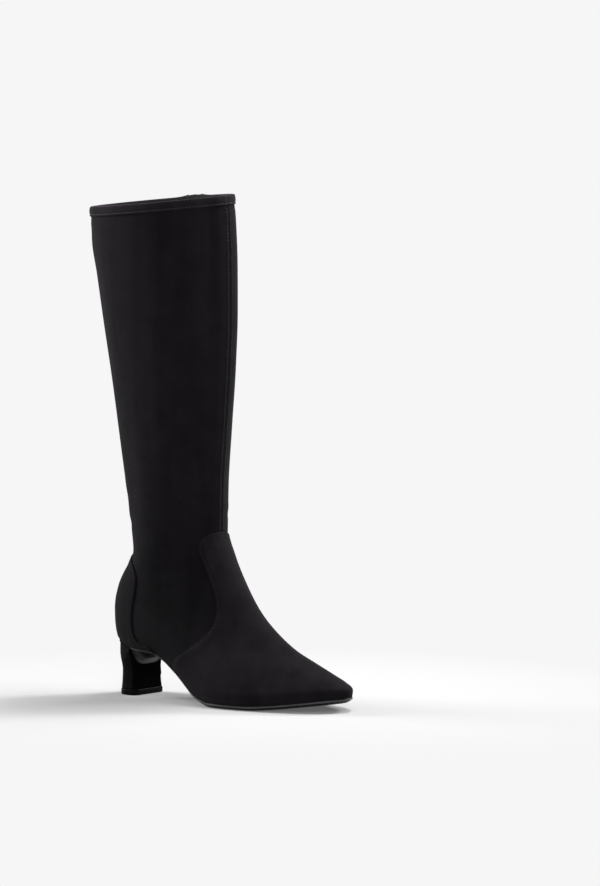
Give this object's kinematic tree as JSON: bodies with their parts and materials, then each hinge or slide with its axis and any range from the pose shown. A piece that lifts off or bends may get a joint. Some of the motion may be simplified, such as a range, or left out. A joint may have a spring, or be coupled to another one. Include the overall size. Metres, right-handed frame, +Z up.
{
  "type": "knee-high boot",
  "caption": "Black stretch-suede knee-high boot with a pointed toe, a block heel, a thin sole and a zip down the inner side.",
  "frame": {"origin": "on the floor, under the middle of the boot's box", "axes": "+X towards the toe, +Y towards the inner side of the leg, +Z up; a right boot"},
  "size_m": [0.2754, 0.0956, 0.4355],
  "materials": {
    "suede": "black stretch microsuede with a short nap",
    "sole": "satin black, with a paler edge",
    "heel": "glossy black at the breast, covered in suede behind",
    "lift": "satin black",
    "lining": "matt dark textile",
    "zip_cloth": "black woven tape",
    "zip_coil": "black nylon coil with a soft shine",
    "zip_metal": "bright nickel"
  },
  "bodies": {
    "boot": {"upper": "suede", "vamp": "suede", "counter": "suede", "collar_band": "suede", "outsole": "sole", "insole": "lining", "heel_block": "heel", "top_lift": "lift", "zip_tape": "zip_cloth", "zip_chain": "zip_coil", "zip_bottom_stop": "zip_metal", "zip_stop_front": "zip_metal", "zip_stop_back": "zip_metal", "zip_slider": "zip_metal"},
    "pull": {"zip_pull_ring": "zip_metal", "zip_pull_tab": "zip_cloth"}
  },
  "joints": [
    {"name": "pull_swing", "type": "hinge", "parent": "boot", "child": "pull", "pos_m": [-0.0624, 0.0458, 0.4265], "axis": [0.9942, -0.014, 0.1066], "range_deg": [0, 160]}
  ]
}
